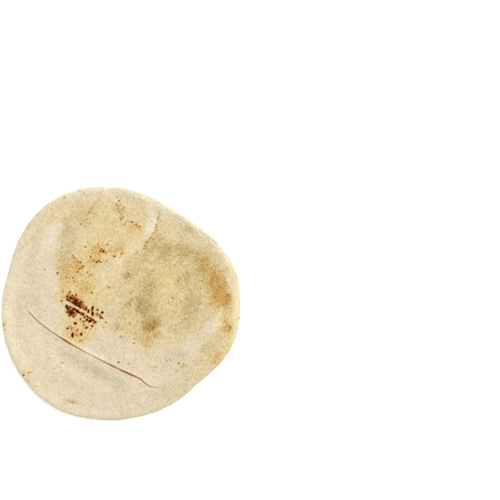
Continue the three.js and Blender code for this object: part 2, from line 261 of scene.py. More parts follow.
# Streaky freckles, most of them on the gold crust. The ones with a seventh number were greyed
# by smoke, and the others are brown.
STREAKY_FRECKLES = [
    (-48.1, 47.1, 0.8, 0.7, 0, 0.6, 1), (-46.4, 45.0, 1.0, 0.75, 60, 0.64),
    (-44.0, 44.7, 0.8, 0.5, -40, 0.38), (-43.1, 41.7, 0.9, 0.6, -30, 0.54),
    (-41.8, 41.0, 1.2, 0.45, -30, 0.46), (-40.4, 40.4, 0.9, 0.7, 30, 0.68),
    (-47.0, 40.8, 0.9, 0.6, 60, 0.46), (-37.4, 36.4, 1.1, 0.7, 70, 0.62),
    (-38.8, 34.4, 0.9, 0.6, 70, 0.5), (-41.7, 34.1, 1.0, 0.7, 60, 0.5),
    (-43.2, 30.8, 1.2, 0.7, 30, 0.58), (-44.6, 35.2, 0.8, 0.5, 0, 0.36),
    (-33.5, 30.8, 0.8, 0.6, 40, 0.6, 1), (-54.3, 25.7, 0.8, 0.65, -60, 0.7),
    (-51.4, 25.2, 1.3, 0.5, 85, 0.42), (-47.9, 25.2, 0.8, 0.7, 0, 0.66),
    (-52.3, 32.5, 0.8, 0.6, 0, 0.42), (-52.5, 29.1, 0.8, 0.6, 0, 0.42, 1),
    (-47.0, 21.7, 1.4, 0.6, -40, 0.44), (-53.3, 20.6, 0.8, 0.6, 0, 0.5, 1),
    (-50.0, 20.2, 0.9, 0.5, 0, 0.38), (-28.9, 28.3, 0.9, 0.7, 60, 0.44),
    (-31.2, 28.6, 1.0, 0.6, 0, 0.42), (-30.3, 26.8, 0.9, 0.45, 0, 0.38),
    (-35.6, 56.0, 1.2, 0.7, -40, 0.54), (-30.0, 46.0, 1.1, 0.7, 85, 0.58),
    (-28.5, 52.9, 0.8, 0.6, 0, 0.5, 1), (-22.7, 58.8, 1.2, 0.6, 35, 0.46),
    (-13.5, 58.5, 0.75, 0.6, 0, 0.68), (-20.4, 51.7, 1.3, 0.7, 70, 0.68),
    (-17.4, 51.6, 1.5, 0.8, 60, 0.84), (-19.3, 53.9, 1.3, 0.55, -20, 0.56),
    (-21.3, 55.4, 2.6, 0.5, -48, 0.44), (-14.9, 50.4, 1.1, 0.7, 40, 0.58),
    (-11.6, 52.1, 1.0, 0.5, 40, 0.44), (-22.0, 49.4, 1.1, 0.6, 60, 0.5),
    (-20.8, 47.1, 0.9, 0.5, 60, 0.42, 1), (-23.9, 40.7, 1.2, 0.75, 40, 0.68),
    (-22.2, 42.0, 1.6, 0.55, 50, 0.62), (-20.6, 41.2, 1.7, 0.6, -35, 0.62),
    (-21.6, 43.6, 1.0, 0.5, 60, 0.46), (-26.6, 42.1, 0.9, 0.8, 30, 0.6, 1),
    (-14.3, 41.9, 0.8, 0.65, 0, 0.54, 1), (-6.6, 46.7, 1.0, 0.85, 0, 0.66),
    (0.7, 49.4, 1.8, 0.6, 62, 0.44), (3.8, 49.9, 1.0, 0.5, -60, 0.4),
    (-0.8, 45.6, 1.2, 0.8, 30, 0.34), (4.7, 26.1, 0.9, 0.8, 0, 0.52),
    (7.3, 29.0, 1.0, 0.8, 0, 0.54, 1), (-27.0, 36.4, 0.8, 0.6, 0, 0.42, 1),
    (-63.2, 29.8, 0.9, 0.7, -50, 0.78), (-45.4, 85.2, 1.4, 0.5, 45, 0.32),
    (-56.0, 105.4, 1.0, 0.7, 45, 0.5, 1), (-36.0, 109.0, 0.8, 0.6, 0, 0.36, 1),
    (-32.3, 107.5, 0.8, 0.5, 0, 0.34), (-10.8, 104.4, 0.8, 0.6, 0, 0.36),
    (-3.1, 106.0, 0.9, 0.6, 0, 0.34), (0.4, 106.0, 0.8, 0.6, 0, 0.3),
    (3.8, 108.3, 0.8, 0.5, 0, 0.3), (-1.7, 101.9, 1.1, 0.8, 0, 0.46),
    (-4.6, 98.1, 0.9, 0.6, 60, 0.46), (-1.2, 97.7, 1.0, 0.5, 0, 0.34),
    (6.9, 87.1, 1.0, 0.5, 60, 0.34), (0.4, 83.0, 1.1, 0.6, 60, 0.44),
    (4.6, 80.2, 1.2, 0.6, 50, 0.38), (3.4, 77.9, 1.1, 0.6, 40, 0.44),
    (-0.6, 84.6, 1.3, 0.5, -45, 0.52, 1), (0.9, 85.6, 0.9, 0.5, -45, 0.5, 1),
    (-3.0, 96.0, 0.9, 0.6, 40, 0.5, 1), (-2.7, 93.7, 0.9, 0.6, -30, 0.5, 1),
    (-1.6, 91.4, 0.8, 0.6, 0, 0.56, 1), (3.4, 95.4, 0.9, 0.6, -20, 0.54, 1),
    (2.3, 92.9, 0.8, 0.6, 40, 0.5, 1), (1.4, 94.2, 0.7, 0.5, 0, 0.42, 1),
    (0.0, 93.0, 0.6, 0.5, 0, 0.4, 1), (5.7, 82.9, 0.8, 0.5, 30, 0.48, 1),
    (7.5, 81.2, 0.7, 0.5, 0, 0.46, 1), (2.7, 84.6, 0.8, 0.5, -40, 0.48, 1),
    (10.9, 80.9, 0.9, 0.7, -30, 0.74), (15.6, 77.8, 0.9, 0.7, -20, 0.72),
    (18.8, 76.5, 0.9, 0.7, 0, 0.5), (23.8, 101.0, 1.7, 0.5, -35, 0.34),
    (21.4, 102.5, 1.2, 0.5, -30, 0.3), (31.1, 81.5, 0.7, 0.6, 0, 0.46),
    (29.4, -22.2, 1.2, 0.7, -50, 0.5), (34.2, -23.6, 1.0, 0.6, -20, 0.48),
    (29.8, -25.0, 0.8, 0.5, 30, 0.36), (107.6, 8.4, 1.3, 0.7, 30, 0.44),
    (106.3, 6.3, 1.1, 0.7, 0, 0.44), (109.2, 6.3, 1.0, 0.6, 60, 0.42),
    (108.4, -23.4, 1.0, 0.6, -30, 0.5, 1), (109.4, -23.8, 1.3, 0.8, 50, 0.46),
    (110.6, -25.2, 1.2, 0.6, -50, 0.4), (118.2, -15.3, 1.2, 0.6, 20, 0.46),
    (114.6, 27.5, 1.2, 0.6, -75, 0.36), (102.0, 7.2, 0.9, 0.7, 0, 0.42, 1),
    (96.3, 20.8, 1.1, 0.7, 70, 0.46, 1), (96.0, 13.3, 1.0, 0.7, -40, 0.5, 1),
    (96.0, 11.1, 0.8, 0.6, 0, 0.46, 1), (45.3, -57.6, 1.9, 0.45, -42, 0.42, 1),
    (49.2, -57.2, 1.4, 0.45, -55, 0.44, 1), (-51.6, -97.9, 1.5, 0.45, -35, 0.36, 1),
    (-48.5, -99.5, 1.7, 0.6, -25, 0.42, 1), (-46.3, -98.6, 0.9, 0.6, 60, 0.36, 1),
]

# Lone freckles: place, radius and how burnt. They are a little longer one way than another.
FRECKLES = [
    (-40, 78.8, 0.9, 0.55), (-59, 55.1, 0.8, 0.5), (-75.7, 33.4, 0.8, 0.55),
    (-29, 10.5, 0.9, 0.55), (-11.5, 15.5, 0.9, 0.7),
    (-13.5, 16.5, 0.7, 0.45), (-18, 14, 0.8, 0.4), (-29.6, 93.7, 0.8, 0.46),
    (-31.2, 91, 0.8, 0.48), (-27.6, 96, 0.7, 0.3), (-24.8, 99.4, 0.7, 0.28),
    (-33, 87.6, 0.7, 0.32), (-59.7, 50.7, 0.8, 0.34), (-59.3, 46, 0.9, 0.32),
    (-61.5, 43, 1.0, 0.3), (-65.4, 48.4, 0.7, 0.28), (-26.8, -102.2, 0.8, 0.3),
    (13.2, 105, 0.8, 0.42), (59.6, 79.1, 0.7, 0.36), (44.2, 70.6, 0.8, 0.42),
    (25.2, 15.7, 0.7, 0.5), (33.9, 15.7, 0.7, 0.55), (52, 5, 0.8, 0.6),
    (57.6, 22.2, 0.8, 0.55), (9.4, -2, 0.8, 0.5), (20.7, -10.1, 0.9, 0.5),
    (58, -60.3, 0.9, 0.55), (63, -61.2, 0.8, 0.45), (56.4, -67.5, 0.7, 0.45),
    (-0.5, -34, 1.0, 0.42), (13, -40.2, 0.9, 0.48),
    (13.6, -36.4, 0.7, 0.42), (27, -52.4, 0.9, 0.36), (34.3, -64.6, 0.8, 0.36),
    (12.7, -64.5, 0.7, 0.34), (15.2, -56, 0.8, 0.32), (66, -77, 0.8, 0.34),
    (-97, -72.3, 1.1, 0.55), (-92.2, -69.8, 0.9, 0.5), (-88.9, -69.2, 0.8, 0.42),
    (-92.1, -77.8, 0.9, 0.45), (-86, -82.6, 0.7, 0.36), (-82.7, -82.6, 0.7, 0.36),
    (-58.9, -60, 0.9, 0.5), (-52.3, -63.4, 0.8, 0.48), (-64.9, -37, 0.9, 0.42),
    (-59.7, -68.1, 0.7, 0.34), (-36.7, -69.2, 0.9, 0.34), (-63.8, -62.3, 0.6, 0.32),
    (-24.6, -103.6, 0.7, 0.28), (-52.5, -97, 0.8, 0.32), (-109.3, -56.8, 0.8, 0.42),
    (-117, -22, 1.3, 0.34), (-116, -27, 0.9, 0.32), (-83.5, 72, 0.7, 0.3),
    (39.5, 93, 0.6, 0.4), (38.7, 90.5, 0.7, 0.52), (38.4, 88, 0.6, 0.4),
    (37.6, 85.6, 0.7, 0.48), (36.6, 83.5, 0.7, 0.5), (40, 82, 0.6, 0.36),
    (35.2, 78.5, 0.7, 0.52), (36.5, 77, 0.7, 0.48), (35.5, 75.8, 0.8, 0.54),
    (33.8, 72.5, 0.6, 0.4), (31.5, 69, 0.6, 0.4), (29.8, 66, 0.8, 0.54),
    (28.5, 64.5, 0.8, 0.5), (26.5, 62, 0.6, 0.4), (25.3, 60.5, 0.7, 0.46),
    (24, 57, 0.9, 0.52), (23.3, 54.5, 0.9, 0.46), (51.5, 89.5, 0.7, 0.32),
    (88, 64.5, 0.6, 0.4), (93, 62, 0.6, 0.38), (95, 60, 0.7, 0.44), (96.5, 58.5, 0.6, 0.42),
    (1.5, 88.5, 0.6, 0.42), (3, 86.4, 0.7, 0.42), (3.4, 90.2, 0.6, 0.4),
    (16.7, 89.5, 0.6, 0.34), (10.2, 90, 0.6, 0.38), (17.5, 103.8, 0.7, 0.38),
    (-3.9, -25.2, 0.8, 0.5), (-1, -23.4, 0.7, 0.4), (0.2, -26.4, 0.9, 0.36),
    (-6.2, -28.6, 0.8, 0.3), (3, -33.3, 0.7, 0.36), (6, -30, 0.7, 0.36),
    (8.4, -0.2, 0.8, 0.42), (20.4, -7.9, 0.8, 0.42), (24.6, -6.3, 0.8, 0.48),
    (26.2, -5.9, 0.7, 0.42), (28.8, -13.3, 0.8, 0.5), (29.6, -2.1, 0.9, 0.5),
    (28.4, -0.6, 0.7, 0.4), (35, 0.2, 0.7, 0.4), (37.7, 0.6, 0.7, 0.4),
    (19.2, -27, 0.7, 0.36), (14.6, -29.8, 0.7, 0.36), (-13, -37.9, 0.6, 0.32),
    (-11.6, -50.2, 0.7, 0.3), (-16.2, -47.9, 0.7, 0.3), (-27, -43.5, 0.7, 0.3),
    (-36.3, 76.9, 0.7, 0.4), (-11.9, 62, 0.6, 0.42), (-8.1, 64, 0.6, 0.4),
    (-4.3, 59.6, 0.6, 0.42), (-0.4, 60.6, 0.6, 0.42), (-8.9, 55.2, 0.6, 0.38),
    (28.3, -29.2, 0.8, 0.42), (24, -46.5, 0.7, 0.34), (22, -49.5, 0.6, 0.32),
    (43, -84, 0.6, 0.4), (81, 22.5, 0.8, 0.48), (55, 38, 0.8, 0.4),
    (108.5, -27.5, 0.7, 0.44), (90, 28, 0.6, 0.46), (104, 43, 0.8, 0.36),
    (110.5, 37.5, 0.7, 0.32), (114.5, -34.5, 0.8, 0.42), (34.2, -33, 0.9, 0.66),
    (7.6, -60.8, 0.8, 0.52), (-2.3, -59.3, 0.9, 0.62), (43.8, -23.3, 0.7, 0.42),
    (49.6, -24.8, 0.7, 0.42), (53.4, -26.7, 0.8, 0.44), (55.2, -29.4, 0.7, 0.38),
    (49.2, -34.8, 0.7, 0.4), (77.3, -31.7, 0.7, 0.36),
]
shaker = random.Random(7)

# All of them in the same seven numbers. The seventh is 1 for smoky, -1 for brown and 0 for
# like the crust around.
BLISTERS = [(*blister, 0) for blister in CHARRED_BLISTERS]
BLISTERS += [(*mark[:6], 1 if len(mark) > 6 else -1) for mark in STREAKY_FRECKLES]
BLISTERS += [
    (fx, fy, radius * shaker.uniform(0.85, 1.2), radius * 0.75, shaker.uniform(0, 180), burnt, 0)
    for fx, fy, radius, burnt in FRECKLES
]


def across_mark(mark, x, y):
    """How many of a mark's own half lengths and widths each spot is from its middle."""
    mx, my, half_length, half_width, tilt = mark[:5]
    cos, sin = math.cos(math.radians(tilt)), math.sin(math.radians(tilt))
    along = ((x - mx) * cos + (y - my) * sin) / half_length
    across = ((y - my) * cos - (x - mx) * sin) / half_width
    return np.hypot(along, across)


def blister_height(x, y):
    """Small domes of the blisters, each with a dimple where its top has sunk in."""
    height = np.zeros_like(x)
    for blister in BLISTERS:
        away = across_mark(blister, x, y)
        height += BLISTER_DOME * blister[5] * (bump(away, 1.7) - 1.5 * bump(away, 0.7))
    return height


def burnt_share(x, y):
    """How burnt the crust is, as cones that the crust's material cuts to uneven spots, and
    the seventh number of the mark that is there."""
    burnt_most = np.zeros_like(x)
    smoke = np.zeros_like(x)
    for blister in BLISTERS:
        cone = blister[5] * np.clip(CONE_HEIGHT - CONE_FALL * across_mark(blister, x, y), 0, 1)
        smoke = np.where(cone > burnt_most, blister[6], smoke)
        burnt_most = np.maximum(burnt_most, cone)
    ragged_x = x + 1.1 * ripple(np.stack([x, y, 0 * x], -1), 3.2, 2, seed=21)
    ragged_y = y + 1.1 * ripple(np.stack([x, y, 0 * x], -1), 3.2, 2, seed=22)
    for area in SCORCHED_AREAS:
        scorch = area[5] * bump(across_mark(area, ragged_x, ragged_y), 1.05)
        smoke = np.where(scorch > burnt_most, -1, smoke)
        burnt_most = np.maximum(burnt_most, scorch)
    return burnt_most, smoke


# ---- The crease and the lesser folds ----
# The bread was bent while it was soft, and the crust cracked along a thin bent line near its
# front. Softer folds and stretch marks run beside it and over the rest of the crust.

CREASE = [
    (-94, -7), (-81.8, -19.5), (-63.5, -32.8), (-39.5, -47.1), (-8.9, -62.9), (17.9, -75.4),
    (23.6, -80), (30, -83.6), (44, -86.5),
]
CREASE_DEPTH = 0.18
CREASE_HALF_WIDTH = 0.34

# The crust stands up a little along both sides of the crease: how far off, half width, height.
CREASE_LIPS = [(1.5, 1.3, 0.3), (-1.3, 1.0, 0.22)]

# How brown the crease is, and where more (+) or less (-): share along it, how far, how much.
CREASE_PALEST = 0.47
CREASE_BROWNING = [
    (0.31, 0.035, 0.56), (0.365, 0.03, 0.18), (0.5, 0.045, -0.12), (0.6, 0.03, 0.14),
    (0.64, 0.022, 0.32), (0.745, 0.055, 0.56), (0.84, 0.02, 0.16),
]
CHAR_FOLD = [(-59, 4.6), (-56, 2.2), (-50.4, -1.8), (-43, -5.6), (-35, -10.6), (-29.5, -14.6)]
UPPER_FOLD = [(22, 52), (24.3, 57.5), (28.6, 64.6), (33, 71.6), (35.8, 78), (37.2, 84), (39.8, 93)]
STRETCH_MARK = [
    (-40, 78.5), (-34, 85.6), (-30.4, 92.4), (-24, 100.6), (-20.6, 105), (-19, 110.5), (-19.3, 114),
]

# Each fold is its line, its half width, and its height: above 0 for a ridge, below for a furrow.
FINE_WRINKLES = [
    ([(53, 88.2), (60, 84.4), (67, 80)], 0.6, -0.55),
    ([(49, 93.5), (58, 88.4), (66, 83.6), (73, 78)], 0.9, 0.4),
    ([(73.6, 77.5), (76.5, 73.5), (80, 67.5)], 0.9, 0.7),
    ([(76, 74.8), (79.5, 70.6), (85.4, 66.4)], 0.7, -0.85),
    ([(79, 74.6), (84, 70.8), (89, 67)], 0.9, 0.5),
    ([(87, 65.5), (92, 61.8), (97, 57.5)], 0.8, -0.4),
    ([(43.5, -56), (47.5, -59.5)], 0.5, -0.3), ([(48, -56), (50.5, -58.8)], 0.5, -0.3),
    ([(1, -32.5), (-1.5, -34.8), (3, -34.2), (5, -34.6)], 0.6, -0.3),
    ([(70, -74), (78, -78)], 0.5, -0.25), ([(65.5, -21), (62.5, -29), (61, -36)], 1.3, 0.24),
    ([(69, -22), (65.5, -31), (63, -39), (56, -40.5)], 1.3, -0.24),
    ([(-45, -71.5), (-39, -77), (-33, -81.5), (-26, -84)], 1.3, -0.16),
    ([(-38, -64), (-28, -70), (-21, -75), (-12, -78.5)], 1.5, -0.16),
    ([(-34.5, -64.5), (-36, -68.5), (-38.5, -72.5)], 0.8, -0.2),
]
FOLDS = FINE_WRINKLES + [
    ([(-86, -30), (-58, -53), (-30, -68), (0, -83), (18, -91)], 8.0, -0.8),
    ([(-64, -68), (-38, -82), (-6, -94)], 8.0, 0.5),
    ([(-34, -70), (-18, -78), (0, -84.5)], 1.5, 0.3),
    (CHAR_FOLD, 0.8, -0.4),
    (STRETCH_MARK, 1.5, -0.5),
    ([(-38, 88), (-50, 68), (-55, 46)], 7.0, -0.8),
    ([(-64, 80), (-72, 64), (-78, 46)], 6.5, 0.6),
    ([(-84, 72), (-92, 48), (-97, 20)], 6.0, -0.5),
    ([(34, 90), (27, 75), (20, 61), (8, 46)], 3.6, 0.6),
    (UPPER_FOLD, 0.9, -0.55),
    ([(97, -10), (88, -30), (74, -44), (56, -51)], 5.0, 0.65),
    ([(82, -8), (77, -25), (63, -37)], 5.0, -0.55),
    ([(71, -33), (78, -20)], 1.4, 0.25), ([(82, -43), (92, -28)], 1.8, 0.3),
    ([(48, 90.5), (58, 85), (68, 79), (77, 71.5)], 1.0, 0.35),
    ([(50, 87.5), (58, 83), (66, 78)], 0.7, -0.3),
    ([(98, 28), (103, 5), (102, -20), (94, -44)], 4.0, -0.4),
    ([(2, -12), (12, 4), (20, 14)], 3.0, -0.3), ([(12, -14), (26, 8)], 2.5, 0.2),
    ([(-103, -2), (-104, -30), (-96, -56)], 6.0, -0.4),
]


def curve_through(corners, step=1.5):
    """A smooth line through its corners, as points about a step apart."""
    corners = np.array(corners, float)
    ends = [2 * corners[0] - corners[1], *corners, 2 * corners[-1] - corners[-2]]
    made = []
    for a, b, c, d in zip(ends, ends[1:], ends[2:], ends[3:]):
        for t in np.arange(0, 1, step / max(np.hypot(*(c - b)), step)):
            made.append(
                0.5 * (2 * b + (c - a) * t + (2 * a - 5 * b + 4 * c - d) * t**2
                       + (3 * b - a - 3 * c + d) * t**3)
            )
    return np.array([*made, corners[-1]])


def beside(line, x, y):
    """Signed distance of each spot from a line, left of it positive, and its share along."""
    nearest = np.full(x.shape, np.inf)
    signed = np.zeros_like(x)
    share = np.zeros_like(x)
    lengths = np.hypot(*(line[1:] - line[:-1]).T)
    before = np.concatenate([[0], np.cumsum(lengths)])
    for start, end, length, run in zip(line, line[1:], lengths, before):
        along = (end - start) / length
        t = np.clip((x - start[0]) * along[0] + (y - start[1]) * along[1], 0, length)
        dx, dy = x - start[0] - t * along[0], y - start[1] - t * along[1]
        away = np.hypot(dx, dy)
        closer = away < nearest
        nearest = np.where(closer, away, nearest)
        signed = np.where(closer, np.sign(along[0] * dy - along[1] * dx) * away, signed)
        share = np.where(closer, (run + t) / before[-1], share)
    return signed, share


def between_ends(share, steepness):
    """1 along a line, falling to 0 at both its ends."""
    return np.clip(np.sin(math.pi * share) * steepness, 0, 1)


def ridge(corners, half_width, rise, x, y, step=1.5):
    """Height of a fold, which falls off to both sides and to both ends of its line."""
    away, share = beside(curve_through(corners, step), x, y)
    return rise * np.sin(math.pi * share) ** 0.6 * bump(away, half_width)


crease_line = curve_through(CREASE, 0.8)


def fold_height(x, y):
    """The crease's narrow groove, its raised lips and every lesser fold."""
    away, share = beside(crease_line, x, y)
    fade = between_ends(share, 2.2) * bump(np.maximum(0, abs(away) - 9), 3)
    height = -CREASE_DEPTH * fade * bump(away, CREASE_HALF_WIDTH)
    height += sum(rise * fade * bump(away - off, width) for off, width, rise in CREASE_LIPS)
    for corners, half_width, rise in FOLDS:
        height += ridge(corners, half_width, rise, x, y, step=3)
    return height


# ---- The crust's mesh ----
# One closed skin. The rim is a band of rings that turns from the upper crust to the
# underside, and each crust is filled with points that lie closer where it has finer detail.

RIM_COLUMNS = 820
RIM_ROWS = 20
UPPER_SPACING = 0.98
UNDER_SPACING = 2.4
FINE_SPACING = 0.5
CLOSEST = 0.24  # two fine spots are never closer
SHAKEN = 0.14  # how far a spot is shaken out of its lattice, for each unit of spacing
FARTHEST = 130.0  # further from the middle than the edge is anywhere
CHARRED_BOX = ((-66, -42), (-10, 16))
SAME_SPOT = 1e-7  # spots nearer than this are taken for one
ONLY_INSIDE = 1  # Blender's number for keeping just the triangles inside a border

# Rows of spots run along the crease, these distances off its middle. Beyond its margin a fine
# lattice lies over the charred spot, and over the margins of narrow folds, blisters and streaks.
CREASE_ROWS = [-2.1, -1.4, -0.9, -0.55, -0.25, 0, 0.25, 0.55, 0.9, 1.4, 2.1]
CREASE_MARGIN = 2.7
FOLD_MARGIN = 1.7
BLISTER_MARGIN = 1.0
STREAK_MARGIN = 1.4
NARROW_FOLD = 1.0  # folds of a smaller half width are narrow
NARROW_STREAK = 1.3  # the same for scorched streaks


def lattice(spacing, low, high):
    """Spots in a triangular lattice over a box, each shaken a little."""
    rows = np.arange(low[1], high[1], spacing * math.sqrt(3) / 2)
    spots = []
    for number, y in enumerate(rows):
        for x in np.arange(low[0] + spacing / 2 * (number % 2), high[0], spacing):
            spots.append((x + shaker.uniform(-SHAKEN, SHAKEN) * spacing,
                          y + shaker.uniform(-SHAKEN, SHAKEN) * spacing))
    return np.array(spots)


def fine_spots():
    """Closer spots along the crease and the narrow folds and over the blisters."""
    spots = []
    line = curve_through(CREASE, 0.62)
    ahead = np.gradient(line, axis=0)
    ahead /= np.hypot(*ahead.T)[:, None]
    sideways = np.stack([-ahead[:, 1], ahead[:, 0]], axis=-1)
    rows = line[:, None] + sideways[:, None] * np.array(CREASE_ROWS)[:, None]
    spots.extend(rows.reshape(-1, 2))
    (left, bottom), (right, top) = CHARRED_BOX
    charred = lattice(FINE_SPACING, *CHARRED_BOX)
    near = np.min([across_mark(m, *charred.T) for m in CHARRED_BLISTERS + SCORCHED_AREAS], axis=0)
    away, _ = beside(line, *charred.T)
    spots.extend(charred[(near < 2) & (abs(away) > CREASE_MARGIN)])
    for corners, half_width, _ in FOLDS:
        if half_width < NARROW_FOLD:
            low, high = np.min(corners, axis=0) - 2, np.max(corners, axis=0) + 2
            strip = lattice(FINE_SPACING, low, high)
            away, _ = beside(curve_through(corners), *strip.T)
            spots.extend(strip[abs(away) < FOLD_MARGIN])
    lone = [(blister, BLISTER_MARGIN) for blister in BLISTERS]
    lone += [(area, STREAK_MARGIN) for area in SCORCHED_AREAS if area[3] < NARROW_STREAK]
    for mark, margin in lone:
        mx, my, half_length, half_width, tilt = mark[:5]
        if left < mx < right and bottom < my < top:
            continue
        reach = half_length + margin
        patch = lattice(FINE_SPACING, (mx - reach, my - reach), (mx + reach, my + reach))
        near = across_mark((mx, my, reach, half_width + margin, tilt), *patch.T)
        spots.extend(patch[near < 1])
    return np.array(spots)


def in_cells_round(cells, column, row):
    """The spots kept in one cell and in the eight cells round it."""
    return [spot for i in (-1, 0, 1) for j in (-1, 0, 1)
            for spot in cells.get((column + i, row + j), [])]


def thinned(spots, spacing):
    """The spots less those too near another."""
    taken = {}
    kept = []
    for spot in spots.tolist():
        cell = int(spot[0] // spacing), int(spot[1] // spacing)
        near = in_cells_round(taken, *cell)
        if all(math.hypot(spot[0] - n[0], spot[1] - n[1]) > spacing for n in near):
            taken.setdefault(cell, []).append(spot)
            kept.append(spot)
    return np.array(kept)


def filled(border, inner):
    """Triangles between a closed border and the spots inside it, by their numbers."""
    spots = [Vector(spot) for spot in np.concatenate([border, inner]).tolist()]
    count = len(border)
    edges = [(i, (i + 1) % count) for i in range(count)]
    _, _, faces, origin, _, _ = delaunay_2d_cdt(spots, edges, [], ONLY_INSIDE, SAME_SPOT)
    first = [came_from[0] for came_from in origin]
    return np.array([[first[corner] for corner in face] for face in faces])


column_angle = np.arange(RIM_COLUMNS) / RIM_COLUMNS * 2 * math.pi
turns = np.radians(np.linspace(90, -90, RIM_ROWS + 1))
rim_rings = []
for turn in turns:
    side = 1 if turn > 0 else -1
    turned_in = rounding(column_angle, side) * (1 - math.cos(turn))
    rim_rings.append(skin(column_angle, turned_in, side))
rim_points = np.concatenate(rim_rings)


def near_distance(spots, others, cell=2):
    """Distance from each spot to the nearest other one, if one is in the cells round it."""
    cells = {}
    for x, y in others.tolist():
        cells.setdefault((int(x // cell), int(y // cell)), []).append((x, y))
    found = []
    for x, y in spots.tolist():
        near = in_cells_round(cells, int(x // cell), int(y // cell))
        found.append(min((math.hypot(x - nx, y - ny) for nx, ny in near), default=FARTHEST))
    return np.array(found)


def crust_spots(border, spacing, finer=None):
    """The lattice inside a border, with a gap that fits the border's own spacing."""
    spots = lattice(spacing, (-FARTHEST, -FARTHEST), (FARTHEST, FARTHEST))
    border_angle = np.arctan2(border[:, 1], border[:, 0])
    order = np.argsort(border_angle)
    reach = np.hypot(border[:, 0], border[:, 1])

    def inside(placed):
        """Those of some spots that the border holds."""
        angle = np.arctan2(placed[:, 1], placed[:, 0])
        limit = np.interp(angle, border_angle[order], reach[order], period=2 * math.pi)
        return placed[np.hypot(placed[:, 0], placed[:, 1]) < limit - 0.75 * spacing]

    spots = inside(spots)
    if finer is None:
        return spots
    fine = inside(thinned(finer, CLOSEST))
    coarse = spots[near_distance(spots, fine) > 0.62 * spacing]
    return np.concatenate([fine, coarse])


upper_border = rim_rings[0][:, :2]
under_border = rim_rings[-1][:, :2]
upper_inner = crust_spots(upper_border, UPPER_SPACING, fine_spots())
under_inner = crust_spots(under_border, UNDER_SPACING)
upper_faces = filled(upper_border, upper_inner)
under_faces = filled(under_border, under_inner)

points = np.concatenate([rim_points, skin_at(upper_inner, 1), skin_at(under_inner, -1)])
rim_count = len(rim_points)
upper_count = len(upper_inner)
last_ring = rim_count - RIM_COLUMNS


def numbered(faces, border_start, inner_start):
    """Face corners renumbered from one crust's own count to the whole skin's."""
    return np.where(faces < RIM_COLUMNS, faces + border_start, faces - RIM_COLUMNS + inner_start)


column = np.arange(RIM_COLUMNS)
following = (column + 1) % RIM_COLUMNS
band_faces = []
for row in range(RIM_ROWS):
    a, b = row * RIM_COLUMNS + column, row * RIM_COLUMNS + following
    c, d = a + RIM_COLUMNS, b + RIM_COLUMNS
    band_faces.append(np.stack([a, c, b], axis=-1))
    band_faces.append(np.stack([b, c, d], axis=-1))
band_faces = np.concatenate(band_faces)
upper_faces = numbered(upper_faces, 0, rim_count)
under_faces = numbered(under_faces, last_ring, rim_count + upper_count)[:, ::-1]
faces = np.concatenate([upper_faces, band_faces, under_faces])


def outward(points, faces):
    """The direction that the skin faces at each point."""
    a, b, c = (points[faces[:, i]] for i in range(3))
    normal = np.cross(b - a, c - a)
    total = np.zeros_like(points)
    for corner in range(3):
        for axis in range(3):
            total[:, axis] += np.bincount(faces[:, corner], normal[:, axis], len(points))
    return total / np.linalg.norm(total, axis=1)[:, None]


# ---- Relief of the crust ----
# The skin is never smooth: it has broad waves from puffing and falling, a pebbled grain,
# unscorched blisters, and a seam along the rim where the two crusts were pressed together.

SEAM_DEPTH = 0.4
SEAM_HALF_WIDTH = 0.45
RIM_BAND = 9  # the rim's own relief gives way to the crust's over this far in
LIFTED_BAND = 12  # underneath, the relief dies out over this far in

x, y, z = points.T
facing = outward(points, faces)
is_upper = np.zeros(len(points), bool)
is_upper[: (RIM_ROWS // 2 + 1) * RIM_COLUMNS] = True
is_upper[rim_count: rim_count + upper_count] = True
angle = np.arctan2(y, x)
inset = edge_reach(angle) - np.hypot(x, y)
flat_share = np.clip(inset / RIM_BAND, 0, 1)

seam_wander = 0.8 * ripple(around_rim(angle), 40, 2, seed=5)
ring_middle = underside(angle, 0) + thickness(angle, 0, x, y) / 2
seam_away = np.hypot(z - ring_middle - seam_wander, 0.6 * inset)
seam = bump(seam_away, SEAM_HALF_WIDTH)

# From the broad waves down to the pebbles, then the pinches that run round the rim.
relief = 0.9 * ripple(points, 44, 2, seed=3) * flat_share
relief += 0.42 * ripple(points, 17, 2, seed=4)
relief += 0.19 * ripple(points, 5.5, 2, seed=6) + 0.09 * ripple(points, 2.4, 1, seed=8)
relief += 0.15 * ripple(points * [1, 1, 2], 7, 2, seed=9) * (1 - flat_share)
relief += 0.16 * ripple(around_rim(angle), 3.4, 2, seed=10) * bump(np.maximum(inset, 0), 5)
relief -= SEAM_DEPTH * seam
upper_relief = np.where(is_upper, fold_height(x, y) + blister_height(x, y), 0)
relief += upper_relief * np.clip(0.3 + inset / 5, 0, 1)
lifted = np.clip(1 - inset / LIFTED_BAND, 0, 1)
relief = np.where(is_upper, relief, relief * lifted)
points = points + facing * relief[:, None]

# The bread's own weight lays it flat on the table.
points[:, 2] = np.maximum(points[:, 2], 0)
points[~is_upper & (inset > CURL_INSET), 2] = 0
